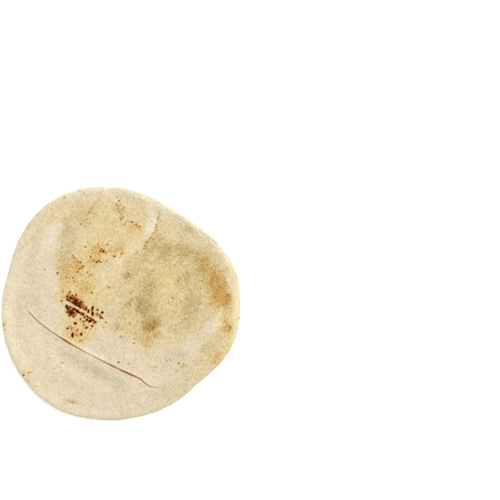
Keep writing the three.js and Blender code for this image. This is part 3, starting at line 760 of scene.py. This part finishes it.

# ---- Where the crust is toasted ----
# The dough is pale and floury where it bulged away from the heat, gold where it touched the hot
# floor, dulled where smoke and flour lie on the gold, and brown along the right rim. Light and
# shade are painted into these tones too: paler lips and ridges, darker furrows, folds and trough.

# Each soft touch is its middle, its half length and half width, its tilt, how toasted the crust is
# there (0 pale, 0.5 straw, 0.75 gold, 1 brown) and how dull (0 clean, 1 smoky, below 0 where flour
# brightens it). Most are touches of the heat, but some paint light and shade as dullness: the light
# and dark stripes of the folds at the left, the shade of the trough below the crease, and the
# lighter top rim and right lip. Later ones lie over earlier ones.
UNTOUCHED = (0.02, 0.36)
TOUCHES = [
    (2, 56, 66, 48, 0, 0.44, 0.2), (-38, 18, 25, 37, 0, 0.52, 0.08),
    (50, 12, 66, 60, 0, 0.52, 0.7), (18, -24, 32, 18, -20, 0.5, 0.5),
    (-43, -24, 17, 15, 20, 0.6, 0.05), (103, -25, 42, 12, 80, 0.5, 0.25),
    (84, -56, 28, 12, 48, 0.36, 0.62), (54, -86, 36, 12, 22, 0.26, 0.62),
    (-43, 93, 22, 9, 22, 0.52, 0.1), (-2, 92, 32, 13, -8, 0.42, 0.15),
    (-62, 102, 28, 5, 32, 0.3, 0.0), (-75, 84, 24, 6, 42, 0.32, 0.15),
    # (-16, 110.5) is partly a painted highlight along the top rim, and (-3, -80) is painted shade
    # in the trough.
    (-16, 110.5, 42, 8, 0, 0.18, -0.25), (-3, -80, 8, 5, -28, 0.02, 1.3),
    # (-72, 64) to (-88, 46), (-52, 66) and (-56, 46) paint the light and dark stripes of the folds
    # at the left.
    (38, 96, 40, 8, -32, 0.1, 0.05), (-72, 64, 22, 6.5, 52, -0.02, -0.05),
    (-76, 78, 17, 2.4, 47, 0.34, 0.5), (-97, 58, 12, 2.0, 52, 0.2, 0.85),
    (-84, 62, 20, 1.6, 50, 0.2, 0.6), (-88, 46, 18, 1.8, 62, 0.12, 0.7),
    (-88, 12, 30, 12, 85, 0.0, 0.75), (-52, 66, 28, 7.5, 80, 0.36, 1.3),
    (-56, 46, 14, 7, 76, 0.4, 1.5), (-32, 88, 15, 5, 62, 0.46, 0.5),
    (-47, 35, 15, 10, 60, 0.84, 0.02), (-37, 15, 14, 11, 80, 0.8, 0.0),
    (-57, 19, 16, 7, 80, 0.74, 0.15), (-25, 47, 13, 7.5, 62, 0.82, 0.06),
    (-20, 54, 7, 5, 0, 0.86, 0.1), (-3, 51, 11, 6, 10, 0.85, 0.05),
    (-14, 30, 15, 9, 10, 0.37, -0.15), (-20, 6, 12, 8, 30, 0.55, 0.0),
    (8, 75, 15, 9, -50, 0.52, 0.0), (14, 76, 8, 5.5, -40, 0.74, 0.0),
    (-2, 92, 12, 6, -65, 0.56, 0.4), (-14, 78, 14, 8, 60, 0.5, 0.1), (-4, 79, 6, 5, 0, 0.64, 0.0),
    (16, 95, 9, 6, 0, 0.5, 0.0), (14, 55, 11, 5, 58, 0.36, -0.3),
    (1, 42, 14, 5.5, 48, 0.4, -0.35),
    (42, 77, 12, 7, -30, 0.36, 0.5), (32, 61, 11, 8, 20, 0.68, 1.15),
    (45, 51, 9, 7, 60, 0.7, 1.75), (63, 52, 14, 9, -15, 0.68, 1.75),
    (83, 37, 16, 11, -58, 0.8, 1.4), (95, 20, 18, 12, -65, 0.92, 1.05),
    (100, 6, 15, 11.5, -75, 0.98, 0.75), (105.5, 4, 7, 5, 0, 1.04, 0.5),
    (6, 28, 7, 5, 40, 0.66, 1.75), (20, 40, 12, 8, 20, 0.52, 0.85),
    (26, 15, 14, 8, 78, 0.68, 1.45), (24, -7, 12, 7, 95, 0.66, 1.6),
    (30, -24, 12, 9, 80, 0.76, 1.4), (31, -21.5, 7.5, 6, 0, 0.87, 3.2),
    (28, -38, 9, 8, 80, 0.74, 0.95), (47, 18, 26, 8, 80, 0.6, 0.05),
    (46, 31, 8, 7, 0, 0.7, 0.05), (58, 22, 11, 3.5, 85, 0.62, 0.95),
    (68, 22, 9, 6, 60, 0.6, 1.4), (74, 2, 13, 8, 85, 0.58, 1.85),
    (68, -12, 12, 8, 60, 0.46, 1.75), (62, 6, 12, 3, 85, 0.52, 0.3),
    (88, -26, 16, 6, 60, 0.08, 0.0), (70, -42, 17, 8, 35, 0.04, 0.45),
    (55, -51, 12, 6, -20, 0.06, 1.3), (84, -8, 14, 3, 80, 0.45, 0.5),
    (105, -24, 11, 7, 78, 0.88, 0.28), (102, -40, 11, 5.5, 70, 0.44, 0.05),
    (89, -50, 12, 6.5, 50, 0.43, 0.82), (95, -55, 8, 4.2, 54, 0.74, 0.35),
    (10, 0, 15, 4.5, 62, 0.54, 0.9), (-108, 2, 22, 7, 88, -0.05, 0.24),
    (15, -30, 11, 7, -30, 0.5, 0.6), (0, -22, 10, 8, 0, 0.47, 0.7),
    (-11, -36, 15, 8, -20, 0.03, 0.7), (-30, -50, 14, 5, -30, 0.0, -0.1),
    (62, -62, 8, 6, 0, 0.35, 0.95), (44, -63, 14, 5, 0, 0.1, 0.7),
    (6, -100, 44, 12, 0, -0.03, 0.85), (-95, -72, 8, 6, -40, 0.42, 0.3),
    # (-35, -85), (-22, -71) and (-50, -56) paint shade in the trough below the crease.
    (-50, -98, 7.5, 3.5, -15, 0.15, 1.5), (-35, -85, 18, 6, -25, 0.04, 0.7),
    (-22, -71, 30, 7, -28, 0.02, 1.35), (-50, -56, 15, 7, -32, 0.02, 1.05),
    (-43, -31, 11, 8, 0, 0.75, 0.0), (-25, -11, 10, 8, -30, 0.62, -0.05),
    # (108, 38), (112, 21) and (115.5, -2) paint the right lip pale, partly as a painted highlight.
    (108, 38, 26, 4.6, -63, 0.22, -0.5), (112, 21, 15, 4.4, -80, 0.26, -0.5),
    (115.5, -2, 18, 4, 88, 0.24, -0.6), (110.5, -9, 12, 3.0, 85, 0.5, -0.1),
    (-30, -28, 5, 8, -45, 0.5, 0.0),
    (69, 72, 6.5, 4.5, -30, 0.44, 1.8), (50, -86, 16, 8, 15, 0.26, 0.95),
    (28, 54, 6, 4.5, 30, 0.68, 1.3), (-115, -21, 5, 3.2, 85, 0.62, 0.1),
]

# The rim's own tones, partly toasting and partly painted light and shade on the rounded rim, with a
# painted highlight brightest at the right lip: the direction in degrees, how far round and how far
# in they reach, and how much more toasted and duller they make it.
RIM_TONES = [
    (275, 32, 5, -0.04, 0.24), (208, 28, 4.5, -0.05, -0.8), (176, 20, 4.5, -0.1, -0.55),
    (155, 14, 5, -0.1, -0.25), (132, 12, 3.5, 0.15, 0.3), (92, 14, 4.5, -0.1, 0.4),
    (330, 11, 6.5, 0.2, 0.0), (346, 9, 5, 0.08, -1.0), (6, 16, 6, 0.08, 0.0),
    (14, 8, 6.5, 0.1, 0.05), (28, 14, 5, 0.06, 0.15), (112, 13, 5, -0.15, -0.3),
]


def touched(x, y):
    """How toasted and how dull the upper crust is at each spot, the dullness holding painted light
    and shade too.
    """
    tones = np.tile(UNTOUCHED, (len(x), 1))
    for touch in TOUCHES:
        weight = np.exp(-(across_mark(touch, x, y) ** 3))
        tones += weight[:, None] * (np.array(touch[5:]) - tones)
    return tones


# The touches have wavering sides, so each spot is looked up a little way off.
warp_x = x + 4 * ripple(points, 18, 3, seed=11) + 1.6 * ripple(points, 5, 2, seed=13)
warp_y = y + 4 * ripple(points, 18, 3, seed=12) + 1.6 * ripple(points, 5, 2, seed=14)
upper_tones = touched(warp_x, warp_y)
for direction, spread, depth, more_toast, more_dull_and_shade in RIM_TONES:
    rim_share = bump(np.maximum(inset, 0), depth) * lobe(angle, direction, spread)
    upper_tones += rim_share[:, None] * [more_toast, more_dull_and_shade]

# Painted shade darkens the finest furrows, and a painted highlight lightens the finest ridges.
for corners, half_width, rise in FINE_WRINKLES:
    wrinkle = ridge(corners, half_width, 1, x, y)
    upper_tones += wrinkle[:, None] * [-0.25 * rise, -2.5 * rise]

# Left of the upper right fold a strip stayed floury, with a sharp side along the fold.
left_of_fold, up_fold = beside(curve_through(UPPER_FOLD), x, y)
strip_width = 4 + 5.5 * up_fold + 1.2 * ripple(points, 9, 2, seed=17)
floury = np.clip((left_of_fold + 0.5 + ripple(points, 4, 2, seed=19)) / 2.6, 0, 1)
floury *= bump(np.maximum(left_of_fold - strip_width, 0), 2.5)
floury *= np.clip(up_fold * 2.4 - 0.2, 0, 1) * np.clip((1 - up_fold) * 4, 0.3, 1)
upper_tones += floury[:, None] * ([-0.02, -0.33] - upper_tones)
right_of_fold = bump(left_of_fold, 2.5) * np.clip(0.5 - left_of_fold, 0, 1)
right_of_fold *= np.clip(up_fold * 8, 0, 1) * np.clip((0.66 - up_fold) * 5, 0.15, 1)
upper_tones += right_of_fold[:, None] * [0.08, 0.8]

# The stretch mark at the upper left is a dark line, partly brown and partly painted shade in its
# furrow, gold outside it and duller inside.
left_of_mark, up_mark = beside(curve_through(STRETCH_MARK), x, y)
mark_ends = between_ends(up_mark, 3)
mark_line = mark_ends * bump(left_of_mark, 0.8) * (1 + ripple(points, 3, 1, seed=18))
upper_tones += mark_line[:, None] * [0.08, 0.55]
mark_outside = mark_ends * np.clip(left_of_mark, 0, 1) * bump(left_of_mark, 8)
upper_tones += mark_outside[:, None] * [0.14, 0.15]
mark_inside = mark_ends * np.clip(-left_of_mark, 0, 1) * bump(left_of_mark, 5)
upper_tones += mark_inside[:, None] * [-0.08, 0.28]

# Along the upper right edge, on the side towards the lamp, the rim is a smooth pale band, floury
# and partly a painted highlight.
edge_band = bump(np.maximum(inset - 3.5, 0), 2.2) * lobe(angle, 52, 30)
upper_tones += edge_band[:, None] * 0.85 * ([0.05, 0.14] - upper_tones)

# The underside lay on the oven floor, so broad patches of it are toasted up to the seam.
under_toast = np.clip(0.5 + 0.9 * ripple(points, 34, 3, seed=15), 0.05, 1.1)
under_dull = np.clip(0.15 + 0.5 * ripple(points, 20, 3, seed=16), -0.2, 0.8)
below_middle = np.clip(0.5 * (ring_middle - z), 0, 1)
under_share = np.where(inset < 5, below_middle, np.where(is_upper, 0.0, 1.0))
toast = upper_tones[:, 0] + under_share * (under_toast - upper_tones[:, 0])
# The dull tone holds painted light and shade along with smoke and flour.
dull = upper_tones[:, 1] + under_share * (under_dull - upper_tones[:, 1])

# The crease is a brown line, wider where it is browner, and paler at its right end.
crease_away, crease_share = beside(crease_line, x, y)
crease_tone = between_ends(crease_share, 14)
crease_tone *= 1 - 0.6 * np.clip((crease_share - 0.895) * 12, 0, 1)
crease_brown = CREASE_PALEST + sum(
    more * bump(crease_share - at, spread) for at, spread, more in CREASE_BROWNING
)
crease_width = 1.4 + 0.45 * crease_brown
crease_mark = crease_brown * crease_tone * np.clip(crease_width - abs(crease_away) / 0.65, 0, 1)

# Both of the crease's lips are painted paler, a painted highlight where they catch the light.
dull = dull - 0.45 * is_upper * crease_tone * bump(abs(crease_away) - 1.8, 0.7)

# In the fold across the charred spot the crust was shut away from the heat and stayed pale.
pale_fold, pale_share = beside(curve_through(CHAR_FOLD, 1), x, y)
pale_line = bump(pale_fold, 0.62) * (np.sin(math.pi * pale_share) > 0.15)

burnt, smoke = burnt_share(x, y)
skin_tones = {
    "toast": toast,
    "dull": dull,
    "burnt": is_upper * burnt * (1 - 0.9 * pale_line),
    "smoke": smoke,
    "crease": is_upper * crease_mark,
    "seam": seam,
}

# The skin opens flat into two rounds for the baked pictures: the upper crust, larger, and
# the underside, each out to the middle of the rim. A round is its middle and its radius.
UPPER_ROUND = (0.362, 0.362, 0.36)
UNDER_ROUND = (0.778, 0.778, 0.218)
UNROLLED = 1.4  # the rounded edge is that much longer than it is deep


def flat_places(face_group, flat_round):
    """Where the corners of some faces lie in one of the two flat rounds."""
    u, v, radius = flat_round
    corners = face_group.reshape(-1)
    out = radius / FARTHEST * unrolled[corners]
    return np.stack([u + out * np.cos(angle[corners]), v + out * np.sin(angle[corners])], -1)


unrolled = edge_reach(angle) - inset
for row, turn in enumerate(turns):
    ring = slice(row * RIM_COLUMNS, (row + 1) * RIM_COLUMNS)
    depth = rounding(column_angle, 1 if turn > 0 else -1)
    rolled_out = UNROLLED * depth * (1 - abs(turn) / (math.pi / 2))
    unrolled[ring] = edge_reach(column_angle) - depth + rolled_out
half_band = RIM_ROWS // 2 * 2 * RIM_COLUMNS
flat_map = np.concatenate([
    flat_places(upper_faces, UPPER_ROUND),
    flat_places(band_faces[:half_band], UPPER_ROUND),
    flat_places(band_faces[half_band:], UNDER_ROUND),
    flat_places(under_faces, UNDER_ROUND),
])


def set_out(name, data):
    """A new object made of that mesh, lamp or camera, set out in the scene."""
    made = bpy.data.objects.new(name, data)
    bpy.context.collection.objects.link(made)
    return made


mesh = bpy.data.meshes.new("pita_bread")
mesh.from_pydata((points * METRES).tolist(), [], faces.tolist())
mesh.polygons.foreach_set("use_smooth", np.ones(len(faces), bool))
for name, values in skin_tones.items():
    mesh.attributes.new(name, "FLOAT", "POINT").data.foreach_set("value", values.astype(np.float32))
mesh.uv_layers.new(name="OFBake").data.foreach_set("uv", flat_map.astype(np.float32).ravel())
mesh.update()
bread = set_out("pita_bread", mesh)
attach(bread, "root")
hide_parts("pita")

# ---- The crust's finish ----
# Baked dough, dry and matt, dusted with flour: cream with a fine speckled grain, gold and
# olive where it toasted, brown and black on the blisters.


class Wire:
    """An output of a shader node. Arithmetic on wires adds Math nodes."""

    def __init__(self, finish, socket):
        self.finish = finish
        self.socket = socket

    def output(self, number):
        """Another output of the same node."""
        return Wire(self.finish, self.socket.node.outputs[number])

    def _math(self, operation, first, second):
        return self.finish.node("ShaderNodeMath", {"operation": operation}, {0: first, 1: second})

    def __add__(self, other):
        return self._math("ADD", self, other)

    __radd__ = __add__

    def __sub__(self, other):
        return self._math("SUBTRACT", self, other)

    def __rsub__(self, other):
        return self._math("SUBTRACT", other, self)

    def __mul__(self, other):
        return self._math("MULTIPLY", self, other)

    __rmul__ = __mul__


class Finish:
    """The nodes of one material, or of the room round the bread."""

    def __init__(self, owner):
        owner.use_nodes = True
        self.tree = owner.node_tree
        self.tree.nodes.clear()

    def node(self, kind, settings=None, sockets=None, output=0):
        """One node: its settings are set first, then its sockets take numbers or wires."""
        made = self.tree.nodes.new(kind)
        for name, value in (settings or {}).items():
            if name == "stops":
                self.fill_ramp(made.color_ramp, value)
            else:
                setattr(made, name, value)
        for name, value in (sockets or {}).items():
            if isinstance(value, Wire):
                self.tree.links.new(value.socket, made.inputs[name])
            else:
                made.inputs[name].default_value = value
        return Wire(self, made.outputs[output]) if made.outputs else made

    def fill_ramp(self, ramp, stops):
        """Stops of a colour ramp, spread from the first one's place to the last one's."""
        low, high = stops[0][0], stops[-1][0]
        for _ in stops[2:]:
            ramp.elements.new(0.5)
        for element, (place, shade) in zip(ramp.elements, stops):
            element.position = (place - low) / (high - low)
            element.color = shade

    def ramp(self, wire, stops):
        """The colour that the stops give to the wire's value, in the wire's own terms."""
        low, high = stops[0][0], stops[-1][0]
        along = (wire - low) * (1 / (high - low))
        return self.node("ShaderNodeValToRGB", {"stops": stops}, {0: along})

    def blend(self, share, under, over, how="MIX"):
        """One colour laid over another by a share."""
        return self.node(
            "ShaderNodeMix", {"data_type": "RGBA", "blend_type": how},
            {0: share, 6: under, 7: over}, output=2,
        )

    def step(self, wire, low, high):
        """0 below low, 1 above high and smooth between them."""
        return self.node(
            "ShaderNodeMapRange", {"interpolation_type": "SMOOTHSTEP"}, {0: wire, 1: low, 2: high},
        )

    def marked(self, name):
        """One of the crust's own tones, kept on its mesh."""
        return self.node("ShaderNodeAttribute", {"attribute_name": name}, output=2)

    def grain(self, place, scale, detail=2.0, roughness=0.5):
        """Cloudy unevenness around 0, in three unlike kinds."""
        cloud = self.node(
            "ShaderNodeTexNoise", None,
            {"Vector": place, "Scale": scale, "Detail": detail, "Roughness": roughness},
            output=1,
        )
        parts = self.node("ShaderNodeSeparateColor", None, {0: cloud})
        return [parts.output(number) - 0.5 for number in range(3)]

    def surface(self, sockets):
        """The finished surface, from what feeds its sockets."""
        shader = self.node("ShaderNodeBsdfPrincipled", None, sockets)
        self.node("ShaderNodeOutputMaterial", None, {"Surface": shader})


def tone(red, green, blue):
    """A colour named by its 0 to 255 screen values, as the linear one that a shader takes."""
    shares = [value / 255 for value in (red, green, blue)]
    return (*[s / 12.92 if s <= 0.04045 else ((s + 0.055) / 1.055) ** 2.4 for s in shares], 1.0)


TOASTING = [
    (-0.3, tone(228, 217, 195)), (0.0, tone(225, 211, 184)), (0.3, tone(223, 206, 167)),
    (0.5, tone(221, 200, 150)), (0.75, tone(216, 188, 129)), (0.9, tone(207, 172, 106)),
    (1.05, tone(199, 156, 86)), (1.3, tone(176, 122, 58)), (1.7, tone(128, 76, 38)),
]
SCORCH = [
    (0.1, tone(218, 184, 116)), (0.3, tone(204, 150, 80)), (0.5, tone(164, 98, 42)),
    (0.66, tone(112, 54, 19)), (0.82, tone(54, 17, 6)), (1.0, tone(26, 6, 2)),
]
CREASE_TAN = tone(164, 125, 36)
CREASE_BROWN = tone(142, 64, 0)
SMOKE = [
    (0.1, tone(206, 188, 144)), (0.35, tone(168, 142, 92)), (0.6, tone(120, 90, 50)),
    (0.8, tone(72, 42, 20)), (1.0, tone(30, 10, 4)),
]
FLECK = tone(192, 130, 66)
SPECK = tone(132, 102, 58)
PALE_SPECK = tone(158, 136, 98)
FLOUR = tone(243, 233, 205)
SEAM_GOLD = tone(206, 172, 111)

# How much of the red, green and blue is lost where the crust is dull or painted in shade, to the
# grain of that dullness and to smears.
DULL_AND_SHADE_LOSS = (0.128, 0.139, 0.166)
GRAIN_LOSS = (0.122, 0.138, 0.215)
SMEAR_LOSS = (0.13, 0.145, 0.21)

crust = bpy.data.materials.new("baked_crust")
finish = Finish(crust)

# The grain, from broad mottling to the finest crumb, and streaks that run two ways across.
place = finish.node("ShaderNodeTexCoord", output=3)
stretched, cross_stretched = [
    finish.node(
        "ShaderNodeMapping", {"vector_type": "TEXTURE"},
        {"Vector": place, "Rotation": (0, 0, math.radians(tilt)), "Scale": (2.6, 1, 1)},
    )
    for tilt in (57, -48)
]
mottle = finish.grain(place, 95, 2)
patch = finish.grain(place, 180, 2)
crumb = finish.grain(place, 380, 2, 0.6)
fine = finish.grain(place, 640, 1, 0.7)
streaks = finish.grain(stretched, 600, 1, 0.5)
cross_streaks = finish.grain(cross_stretched, 600, 1, 0.5)
smudges = finish.grain(stretched, 170, 3, 0.65)
tint = finish.grain(place, 560, 1, 0.6)

# The grain is liveliest on smoky gold crust, and calm on brown crust and under flour.
toast = finish.marked("toast")
# The dull tone holds painted light and shade along with smoke and flour.
dull = finish.marked("dull")
coarse = finish.step(toast, 0.1, 0.62)
smoky = finish.step(dull - 0.8 * toast + patch[2], -0.3, 0.35)
smoked = smoky * coarse
floured = 1 - finish.step(dull, -0.6, -0.1)
lively = 0.8 + 0.07 * coarse + 0.33 * smoked - 0.35 * finish.step(toast, 0.8, 1.05) - 0.3 * floured

# The toasted dough's colour, then the smoke, dust and smears that lie on it, and the painted light
# and shade of the dull tone.
toast_grain = 0.4 * mottle[0] + 0.3 * patch[0] + 0.5 * crumb[0] + 1.1 * fine[0] + 0.8 * streaks[0]
toasted = toast + lively * (1 - 0.35 * smoked) * toast_grain
colour = finish.ramp(toasted, TOASTING)
dull_grain = 0.6 * mottle[1] + 0.6 * patch[1] + crumb[1] + 3.2 * fine[1]
dull_grain = lively * (dull_grain + 1.9 * streaks[1] + 1.9 * cross_streaks[1])
smudge = smoked * finish.step(smudges[0] + 0.3 * fine[2], 0.02, 0.2)
scratches = smoked * finish.step(streaks[2] + 0.3 * crumb[2], 0.14, 0.26)
cross_scratches = smoked * finish.step(cross_streaks[2] + 0.3 * crumb[0], 0.14, 0.26)
smeared = 1.2 * smudge + 1.4 * scratches + 1.4 * cross_scratches - 0.2 * smoked
red, green, blue = [
    1 - dull_and_shade_loss * dull - grain_loss * dull_grain - smear_loss * smeared
    for dull_and_shade_loss, grain_loss, smear_loss in zip(DULL_AND_SHADE_LOSS, GRAIN_LOSS, SMEAR_LOSS)
]
dimming = finish.node(
    "ShaderNodeCombineColor", None, {0: red + 0.12 * tint[0], 1: green, 2: blue + 0.4 * tint[1]},
)
colour = finish.blend(1.0, colour, dimming, "MULTIPLY")
fleck = finish.step(0.7 * crumb[1] + fine[2], 0.1, 0.26) * finish.step(toast, 0.78, 0.98)
colour = finish.blend(fleck * 0.42, colour, FLECK)

# Lone dark specks, thickest where it is smoky, and lone grains of flour.
cells = finish.node("ShaderNodeTexVoronoi", None, {"Vector": place, "Scale": 560.0})
chance = finish.node("ShaderNodeSeparateColor", None, {0: cells.output(1)})
near_cell = 1 - finish.step(cells + 0.9 * fine[2], 0.1, 0.44)
crowded = 0.05 + 0.24 * smoked + 0.3 * mottle[2] + 0.3 * mottle[2] * coarse - 0.15 * floured
speck = near_cell * finish.step(chance + crowded, 0.93, 0.99)
speck_shade = finish.blend(finish.step(toast, 0.2, 0.7), PALE_SPECK, SPECK)
colour = finish.blend(speck * (0.7 + 0.2 * smoked), colour, speck_shade)
flour = near_cell * (1 - finish.step(chance.output(1), 0.03, 0.08))
colour = finish.blend(flour * 0.4, colour, FLOUR)

# The crease, tan to brown, and the seam round the rim.
crease = finish.marked("crease")
crease_share = finish.step(crease + 0.25 * crumb[2], 0.1, 0.45)
crease_shade = finish.blend(finish.step(crease, 0.5, 0.85), CREASE_TAN, CREASE_BROWN)
colour = finish.blend(crease_share * 0.9, colour, crease_shade)
seam_share = finish.step(finish.marked("seam") + 0.8 * mottle[2], 0.3, 1.0)
colour = finish.blend(seam_share * 0.12, colour, SEAM_GOLD)

# The burnt marks, with ragged sides. Those on pale or smoky crust are greyer.
burnt = finish.marked("burnt")
ragged = burnt * (1.0 + 0.9 * fine[2] + 1.1 * crumb[2])
paleness = 0.5 - 0.5 * finish.step(toast, 0.2, 0.45)
smoke_share = smoky + paleness - smoky * paleness
smoke_share = finish.step(smoke_share + finish.marked("smoke"), 0, 1)
scorch = finish.blend(smoke_share, finish.ramp(ragged, SCORCH), finish.ramp(ragged, SMOKE))
colour = finish.blend(finish.step(ragged, 0.06, 0.38), colour, scorch)

# Fine grit roughens it all over, and the blackest marks are a little less matt.
grit = 0.0003 * fine[0] + 0.0004 * crumb[1] + 0.0003 * streaks[0]
gritty = finish.node("ShaderNodeBump", None, {"Strength": 0.9, "Distance": 1.0, "Height": grit})
finish.surface({
    "Base Color": colour,
    "Roughness": 0.92 - 0.14 * finish.step(burnt, 0.4, 1.0),
    "Specular IOR Level": 0.06,
    "Normal": gritty,
})
mesh.materials.append(crust)

# ==== The table ====
# A plain, pale, matt board under the bread. It glows a little of itself, as a light table
# does, so that the bread's shadow on it stays faint.

FLOOR_RADIUS = 6.0
FLOOR_CORNERS = 96
FLOOR_DROP = 0.00002  # it lies that little below the bread, so that the two never mix
FLOOR_GLOW = 0.35
BOARD_WHITE = tone(243, 243, 242)
BOARD_BRIGHT = tone(246, 246, 245)

floor_mesh = bpy.data.meshes.new("table_top")
floor_rim = [
    (FLOOR_RADIUS * math.cos(a), FLOOR_RADIUS * math.sin(a), -FLOOR_DROP)
    for a in np.linspace(0, 2 * math.pi, FLOOR_CORNERS, endpoint=False)
]
floor_mesh.from_pydata(floor_rim, [], [list(range(FLOOR_CORNERS))])
floor = set_out("table_top", floor_mesh)

board = bpy.data.materials.new("pale_board")
finish = Finish(board)
place = finish.node("ShaderNodeTexCoord", output=3)
haze = finish.node("ShaderNodeTexNoise", None, {"Vector": place, "Scale": 3.0})
finish.surface({
    "Base Color": finish.blend(haze, BOARD_WHITE, BOARD_BRIGHT),
    "Roughness": 0.9,
    "Specular IOR Level": 0.1,
    "Emission Color": (1.0, 1.0, 1.0, 1.0),
    "Emission Strength": FLOOR_GLOW,
})
floor_mesh.materials.append(board)

# ==== The light ====
# A broad soft lamp at the upper right, and a pale room all round that fills the shadows. Low
# down the room is as bright as the table, so that the two meet without a line.

LAMP_ELEVATION = 44
LAMP_AZIMUTH = 48  # anticlockwise from +X
LAMP_SPREAD = 36
LAMP_STRENGTH = 2.2
ROOM_STRENGTH = 0.57
LOW_ROOM_STRENGTH = 1.0
ROOM_DARKENS = (0.17, 0.5)  # between these heights, where 0 is level and 1 is overhead

lamp_data = bpy.data.lights.new("soft_lamp", "SUN")
lamp_data.energy = LAMP_STRENGTH
lamp_data.angle = math.radians(LAMP_SPREAD)
lamp = set_out("soft_lamp", lamp_data)
elevation, azimuth = math.radians(LAMP_ELEVATION), math.radians(LAMP_AZIMUTH)
toward_lamp = Vector((
    math.cos(elevation) * math.cos(azimuth),
    math.cos(elevation) * math.sin(azimuth),
    math.sin(elevation),
))
lamp.rotation_mode = "QUATERNION"
lamp.rotation_quaternion = toward_lamp.to_track_quat("Z", "Y")

world = bpy.data.worlds.new("pale_room")
bpy.context.scene.world = world
finish = Finish(world)
direction = finish.node("ShaderNodeTexCoord", output=0)
up = finish.node("ShaderNodeSeparateXYZ", None, {0: direction}, output=2)
low_room, high_room = [(*[strength] * 3, 1.0) for strength in (LOW_ROOM_STRENGTH, ROOM_STRENGTH)]
room = finish.blend(finish.step(up, *ROOM_DARKENS), low_room, high_room)
backdrop = finish.node("ShaderNodeBackground", None, {"Color": room, "Strength": 1.0})
finish.node("ShaderNodeOutputWorld", None, {"Surface": backdrop})

# Colours come out as they are, with no film look laid over them.
view = bpy.context.scene.view_settings
view.view_transform = "Standard"
view.look = "None"
view.exposure = 0
view.gamma = 1

# ==== The camera ====
# A camera with a long lens, hung a little over a metre up and looking straight down. It takes
# in a square half a metre wide, with the bread at its lower left.

VIEW_WIDTH = 0.5
VIEW_CENTRE = (0.1292, 0.0529)
VIEW_HEIGHT = 0.005  # the level at which the view is that wide
LENS = 85
SENSOR_WIDTH = 36

camera_data = bpy.data.cameras.new("camera")
camera_data.lens = LENS
camera_data.sensor_width = SENSOR_WIDTH
camera = set_out("camera", camera_data)
camera.location = (*VIEW_CENTRE, VIEW_HEIGHT + VIEW_WIDTH * LENS / SENSOR_WIDTH)
bpy.context.scene.camera = camera
